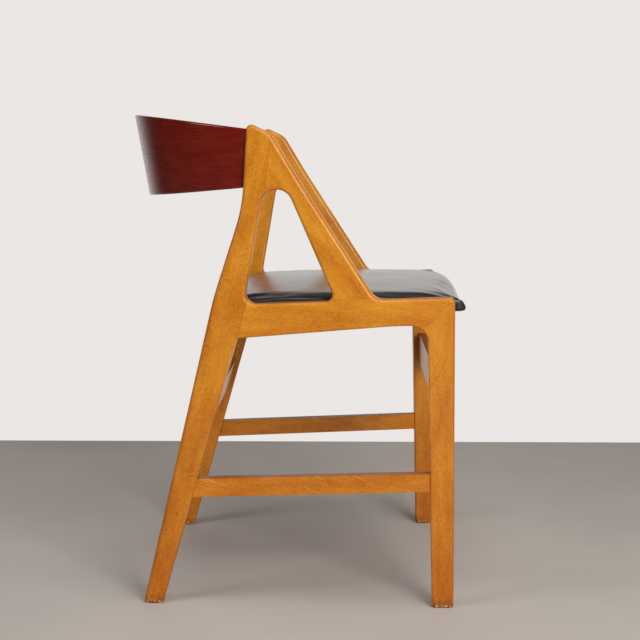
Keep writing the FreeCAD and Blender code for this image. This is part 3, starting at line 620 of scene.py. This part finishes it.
def gather_cover(piece, seat):
    """Pleats the leather round the front corners and settles it everywhere."""
    normals = [vert.normal.copy() for vert in piece.data.vertices]
    for vert, normal in zip(piece.data.vertices, normals):
        x, y, z = vert.co
        lift = -pleat(vert.co, seat)
        # Leather that has been sat on lies in slow waves, a fifth of a millimetre high.
        if z > PAD_BASE + 4 * MM:
            lift += 0.2 * MM * noise.noise(vert.co / (45 * MM))
            lift += 0.08 * MM * noise.noise(vert.co / (15 * MM))
        vert.co += normal * lift
        # The pad stays clear of the side rails and of the CAD's height.
        back = min(max(y - PAD_FRONT, 0.0), PAD_LENGTH)
        limit = max(0.0, half_width(back) + 0.5 * MM)
        vert.co.x = min(limit, max(-limit, vert.co.x))
        vert.co.y = min(PAD_REAR + 0.5 * MM, max(PAD_FRONT - 1.5 * MM, vert.co.y))
        vert.co.z = min(PAD_TOP + 0.8 * MM, max(PAD_BASE, vert.co.z))
        # Under the board the turned-in leather ends where the lining cloth begins.
        inside = (abs(x) < LINING_HIGH[0] - MM
                  and LINING_LOW[1] + MM < y < LINING_HIGH[1] - MM)
        if inside and vert.co.z < PAD_BASE + 3 * MM:
            vert.co.z = PAD_BASE + 1.6 * MM


def black_leather(settings):
    """Upholstery leather, drum dyed black and finished satin.

    The eye sees near black with a broad pale sheen at low angles, a fine pebbled grain, a few
    stretched creases and slightly polished patches where the pad has been sat on.
    """
    material, tree, shader = start_material(
        "Black upholstery leather", settings.leather, IOR=1.5, Roughness=0.4,
        Coat_Weight=0.9, Coat_Roughness=0.25)
    place = add_node(tree, "TexCoord", out=3)
    cells = add_node(tree, "TexVoronoi", {"Vector": place, "Scale": 1 / settings.pore,
                                          "Randomness": 0.9}, feature="DISTANCE_TO_EDGE")
    valleys = add_node(tree, "MapRange", {"Value": cells, "From Max": 0.22})
    worn = add_node(tree, "TexNoise", {"Vector": place, "Scale": 1 / (70 * MM), "Detail": 4,
                                       "Roughness": 0.6})
    creases = add_node(tree, "TexNoise", {
        "Vector": add_node(tree, "Mapping", {
            "Vector": place, "Scale": (1 / (33 * MM), 1 / (9 * MM), 1 / (17 * MM))}),
        "Scale": 1.0, "Detail": 3, "Distortion": 1.2})
    deep = tuple(c * 0.6 for c in settings.leather)
    faded = tuple(c * 1.57 for c in settings.leather)
    colour = add_node(tree, "Mix", {
        0: add_node(tree, "MapRange", {"Value": worn, "From Min": 0.35, "From Max": 0.65}),
        6: (*deep, 1), 7: (*faded, 1)}, out=2, data_type="RGBA")
    tree.links.new(colour, shader.inputs["Base Color"])
    # Sitting polishes the top. The sides and the gathered corners stay dull.
    height = add_node(tree, "SeparateXYZ", {"Vector": place}, out=2)
    dull = add_node(tree, "MapRange", {"Value": height, "From Min": PAD_BASE + 16 * MM,
                                       "From Max": PAD_BASE + 11 * MM},
                    interpolation_type="SMOOTHSTEP")
    polish = add_node(tree, "MapRange", {"Value": dull, "To Min": 0.9, "To Max": 0.1})
    tree.links.new(polish, shader.inputs["Coat Weight"])
    smooth = add_node(tree, "MapRange", {"Value": worn, "From Min": 0.3, "From Max": 0.7,
                                         "To Min": 0.3, "To Max": 0.4})
    rough = add_node(tree, "Math", {0: dull, 1: 0.45, 2: smooth}, operation="MULTIPLY_ADD")
    tree.links.new(rough, shader.inputs["Roughness"])
    fine = add_node(tree, "Bump", {"Height": valleys, "Strength": 0.3, "Distance": 0.06 * MM})
    soft = add_node(tree, "Bump", {"Height": creases, "Strength": 0.4, "Distance": 0.25 * MM,
                                   "Normal": fine})
    tree.links.new(soft, shader.inputs["Normal"])
    return material


class CHAIR_OT_upholster_seat(bpy.types.Operator):
    """Stuffs and covers the seat pad"""
    bl_idname = "chair.upholster_seat"
    bl_label = "Upholster the seat"

    def execute(self, context):
        seat = context.scene.chair_seat
        pad = bpy.data.objects.new("seat_pad", pad_shell(seat))
        context.scene.collection.objects.link(pad)
        even = pad.modifiers.new("even mesh", "REMESH")
        even.mode, even.voxel_size = "VOXEL", 4 * MM
        apply_modifiers(pad)
        stuff(pad, seat.pressure)
        fit_to_board(pad)
        smoother = pad.modifiers.new("smooth skin", "SMOOTH")
        smoother.factor, smoother.iterations = 0.5, 3
        finer = pad.modifiers.new("fine skin", "SUBSURF")
        finer.levels = finer.render_levels = 1
        apply_modifiers(pad)
        gather_cover(pad, seat)
        pad.data.polygons.foreach_set("use_smooth", [True] * len(pad.data.polygons))
        pad.data.update()
        pad.data.materials.clear()
        pad.data.materials.append(black_leather(seat))
        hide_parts("seat_cover", "seat_foam")
        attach(pad, "root")
        return {"FINISHED"}


# ----------------------------------------------------------------- the parts underneath


def birch_plywood():
    """Seat board of birch plywood, sanded and left raw: pale, with thin darker plies."""
    material, tree, shader = start_material("Raw birch plywood", linear("#CBA877"),
                                            IOR=1.5, Roughness=0.7)
    place = add_node(tree, "TexCoord", out=3)
    grain = add_node(tree, "TexNoise", {
        "Vector": add_node(tree, "Mapping", {
            "Vector": place, "Scale": (1 / (2 * MM), 1 / (70 * MM), 1 / (1.3 * MM))}),
        "Scale": 1.0, "Detail": 4})
    colour = add_node(tree, "Mix", {
        0: add_node(tree, "MapRange", {"Value": grain, "From Min": 0.3, "From Max": 0.7}),
        6: (*linear("#A97F4E"), 1), 7: (*linear("#D8B98A"), 1)}, out=2, data_type="RGBA")
    tree.links.new(colour, shader.inputs["Base Color"])
    tree.links.new(add_node(tree, "Bump", {"Height": grain, "Strength": 0.3,
                                           "Distance": 0.1 * MM}), shader.inputs["Normal"])
    return material


def turned_beech(name, pale, dark, grain_turn, roughness):
    """Unlacquered beech of blocks and dowels: pale, dry, with short flecks along the grain."""
    material, tree, shader = start_material(name, linear(pale), IOR=1.52, Roughness=roughness)
    grain = add_node(tree, "VectorRotate", {"Vector": add_node(tree, "TexCoord", out=3),
                                            "Rotation": grain_turn},
                     rotation_type="EULER_XYZ")
    fibres = add_node(tree, "TexNoise", {
        "Vector": add_node(tree, "Mapping", {
            "Vector": grain, "Scale": (1 / (1.4 * MM), 1 / (1.4 * MM), 1 / (18 * MM))}),
        "Scale": 1.0, "Detail": 3})
    colour = add_node(tree, "Mix", {
        0: add_node(tree, "MapRange", {"Value": fibres, "From Min": 0.3, "From Max": 0.7}),
        6: (*linear(dark), 1), 7: (*linear(pale), 1)}, out=2, data_type="RGBA")
    tree.links.new(colour, shader.inputs["Base Color"])
    tree.links.new(add_node(tree, "Bump", {"Height": fibres, "Strength": 0.4,
                                           "Distance": 0.08 * MM}), shader.inputs["Normal"])
    return material


def lining_cloth():
    """Black spun-bonded lining, stapled under the seat: flat black, pressed with small dots."""
    material, tree, shader = start_material("Black non-woven lining", linear("#1A191A"),
                                            IOR=1.5, Roughness=0.9, Sheen_Weight=0.3)
    place = add_node(tree, "TexCoord", out=3)
    # The dots that bond the fibres lie 1.5 mm apart in both directions.
    rows = [add_node(tree, "TexWave", {"Vector": place, "Scale": WAVES_PER_METRE / (1.5 * MM)},
                      out=1, wave_type="BANDS", bands_direction=way) for way in ("X", "Y")]
    height = add_node(tree, "Math", {0: rows[0], 1: rows[1]}, operation="MULTIPLY")
    colour = add_node(tree, "Mix", {0: height, 6: (*linear("#0E0D0E"), 1),
                                    7: (*linear("#2A282A"), 1)}, out=2, data_type="RGBA")
    tree.links.new(colour, shader.inputs["Base Color"])
    tree.links.new(add_node(tree, "Bump", {"Height": height, "Strength": 0.6,
                                           "Distance": 0.2 * MM}), shader.inputs["Normal"])
    return material


def zinc_steel():
    """Steel wood screws, zinc plated: blue-grey metal, dulled in patches by handling."""
    material, tree, shader = start_material("Zinc plated steel", linear("#9A9C9C"),
                                            Metallic=1.0, Roughness=0.4)
    patches = add_node(tree, "TexNoise", {"Vector": add_node(tree, "TexCoord", out=3),
                                          "Scale": 1 / (3 * MM), "Detail": 3})
    colour = add_node(tree, "Mix", {0: patches, 6: (*linear("#7E7F7D"), 1),
                                    7: (*linear("#B4B6B6"), 1)}, out=2, data_type="RGBA")
    tree.links.new(colour, shader.inputs["Base Color"])
    rough = add_node(tree, "MapRange", {"Value": patches, "To Min": 0.32, "To Max": 0.52})
    tree.links.new(rough, shader.inputs["Roughness"])
    return material


class CHAIR_OT_finish_hidden_parts(bpy.types.Operator):
    """Finishes the seat board, lining, cleats, dowels and screws"""
    bl_idname = "chair.finish_hidden_parts"
    bl_label = "Finish the hidden parts"

    def execute(self, context):
        finish_node("seat_board", birch_plywood())
        finish_node("seat_underside", lining_cloth())
        block = turned_beech("Planed beech block", "#C69A62", "#A67A46", LENGTHWAYS, 0.55)
        peg = turned_beech("Raw beech dowel", "#D9B587", "#B98F5E", LENGTHWAYS, 0.6)
        screws = zinc_steel()
        for side in ("right_", "left_"):
            finish_node(side + "seat_cleat", block)
            finish_node(side + "frame_dowels", peg)
        finish_node("cross_rail_dowels", peg)
        finish_node("cleat_screws", screws)
        finish_node("seat_screws", screws)
        return {"FINISHED"}


# ------------------------------------------------------------------------------ the stage

FLOOR_REACH = 4.0                        # the floor runs this far to the camera's side, +Y and -Y
FLOOR_END = 0.943                        # and this far beyond the chair's middle
AIM = (0.0, 0.0, 0.45)                   # the lights point at the chair's seat


def painted_floor(settings):
    """Concrete floor, painted pale grey and rolled: matt, with a slow unevenness."""
    material, tree, shader = start_material("Pale painted floor", settings.floor,
                                            IOR=1.45, Roughness=0.75)
    place = add_node(tree, "TexCoord", out=3)
    uneven = add_node(tree, "TexNoise", {"Vector": place, "Scale": 1 / (330 * MM), "Detail": 5})
    low = tuple(c * 0.95 for c in settings.floor)
    high = tuple(min(1, c * 1.05) for c in settings.floor)
    colour = add_node(tree, "Mix", {
        0: add_node(tree, "MapRange", {"Value": uneven, "From Min": 0.3, "From Max": 0.7}),
        6: (*low, 1), 7: (*high, 1)}, out=2, data_type="RGBA")
    tree.links.new(colour, shader.inputs["Base Color"])
    stipple = add_node(tree, "TexNoise", {"Vector": place, "Scale": 1 / (2.5 * MM)})
    tree.links.new(add_node(tree, "Bump", {"Height": stipple, "Strength": 0.2,
                                           "Distance": 0.2 * MM}), shader.inputs["Normal"])
    return material


def studio_surround(settings):
    """A pale seamless surround, bright behind the chair and dim on the side of the room."""
    world = bpy.data.worlds.new("Pale surround")
    world.use_nodes = True
    tree = world.node_tree
    way = add_node(tree, "SeparateXYZ", {"Vector": add_node(tree, "TexCoord")})
    share = add_node(tree, "MapRange", {"Value": way, "From Min": 0.55, "From Max": 0.92},
                     interpolation_type="SMOOTHSTEP")
    lit = add_node(tree, "Mix", {0: share, 6: (*settings.room, 1), 7: (*settings.surround, 1)},
                   out=2, data_type="RGBA")
    # Seen straight, the surround is plain and pale. Only what it lights is brighter on one side.
    seen = add_node(tree, "LightPath")
    colour = add_node(tree, "Mix", {0: seen, 6: lit, 7: (*settings.surround, 1)}, out=2,
                      data_type="RGBA")
    tree.links.new(colour, tree.nodes["Background"].inputs["Color"])
    return world


def soft_light(name, place, size, power, colour):
    """A large square light aimed at the chair."""
    data = bpy.data.lights.new(name, "AREA")
    data.shape, data.size, data.energy, data.color = "SQUARE", size, power, colour
    light = bpy.data.objects.new(name, data)
    light.location = place
    light.rotation_euler = (Vector(AIM) - Vector(place)).to_track_quat("-Z", "Y").to_euler()
    bpy.context.scene.collection.objects.link(light)


class CHAIR_OT_build_studio(bpy.types.Operator):
    """Lays the floor, hangs the lights and sets up the camera"""
    bl_idname = "chair.build_studio"
    bl_label = "Build the studio"

    def execute(self, context):
        studio, scene = context.scene.chair_studio, context.scene
        # The floor ends a little beyond the chair, where the bright surround takes over.
        data = bpy.data.meshes.new("floor")
        corners = [(-FLOOR_REACH, -FLOOR_REACH, 0), (FLOOR_END, -FLOOR_REACH, 0),
                   (FLOOR_END, FLOOR_REACH, 0), (-FLOOR_REACH, FLOOR_REACH, 0)]
        data.from_pydata(corners, [], [(0, 1, 2, 3)])
        data.materials.append(painted_floor(studio))
        floor = bpy.data.objects.new("floor", data)
        scene.collection.objects.link(floor)

        scene.world = studio_surround(studio)

        soft_light("front softbox", (-2.8, -1.35, 1.25), 1.2, studio.key_power,
                   (1.0, 0.97, 0.93))
        soft_light("rear softbox", (-1.5, 2.3, 1.7), 1.2, studio.fill_power,
                   (0.95, 0.97, 1.0))
        soft_light("ceiling softbox", (-0.9, -0.6, 2.6), 1.8, studio.top_power,
                   (1.0, 0.98, 0.96))

        # The camera looks across the chair from the sitter's right, a little from above.
        data = bpy.data.cameras.new("camera")
        data.lens, data.sensor_width, data.shift_y = studio.lens, 36, -0.12
        camera = bpy.data.objects.new("camera", data)
        camera.location = (-2.300, -0.0763, 0.6708)
        camera.rotation_euler = (radians(86.24), 0, radians(-89.05))
        scene.collection.objects.link(camera)
        scene.camera = camera
        scene.view_settings.view_transform = "Standard"
        return {"FINISHED"}


# ------------------------------------------------------------------------------ the panel


class CHAIR_PT_workshop(bpy.types.Panel):
    """Lists the chair's settings and the jobs that use them"""
    bl_idname = "CHAIR_PT_workshop"
    bl_label = "Dining chair"
    bl_space_type = "VIEW_3D"
    bl_region_type = "UI"
    bl_category = "Chair"

    def draw(self, context):
        for name, settings, operator in JOBS:
            box = self.layout.box()
            if settings:
                group = getattr(context.scene, name)
                for prop in settings.__annotations__:
                    box.prop(group, prop)
            box.operator(operator.bl_idname)


JOBS = [
    ("chair_beech", BeechSettings, CHAIR_OT_lacquer_frame),
    ("chair_veneer", VeneerSettings, CHAIR_OT_veneer_backrest),
    ("chair_seat", SeatSettings, CHAIR_OT_upholster_seat),
    ("", None, CHAIR_OT_finish_hidden_parts),
    ("chair_studio", StudioSettings, CHAIR_OT_build_studio),
]


def register():
    for name, settings, operator in JOBS:
        if settings:
            bpy.utils.register_class(settings)
            setattr(bpy.types.Scene, name, PointerProperty(type=settings))
        bpy.utils.register_class(operator)
    bpy.utils.register_class(CHAIR_PT_workshop)


def unregister():
    bpy.utils.unregister_class(CHAIR_PT_workshop)
    for name, settings, operator in reversed(JOBS):
        bpy.utils.unregister_class(operator)
        if settings:
            delattr(bpy.types.Scene, name)
            bpy.utils.unregister_class(settings)


def main():
    register()
    bpy.ops.chair.lacquer_frame()
    bpy.ops.chair.veneer_backrest()
    bpy.ops.chair.upholster_seat()
    bpy.ops.chair.finish_hidden_parts()
    bpy.ops.chair.build_studio()


if __name__ == "__main__":
    main()
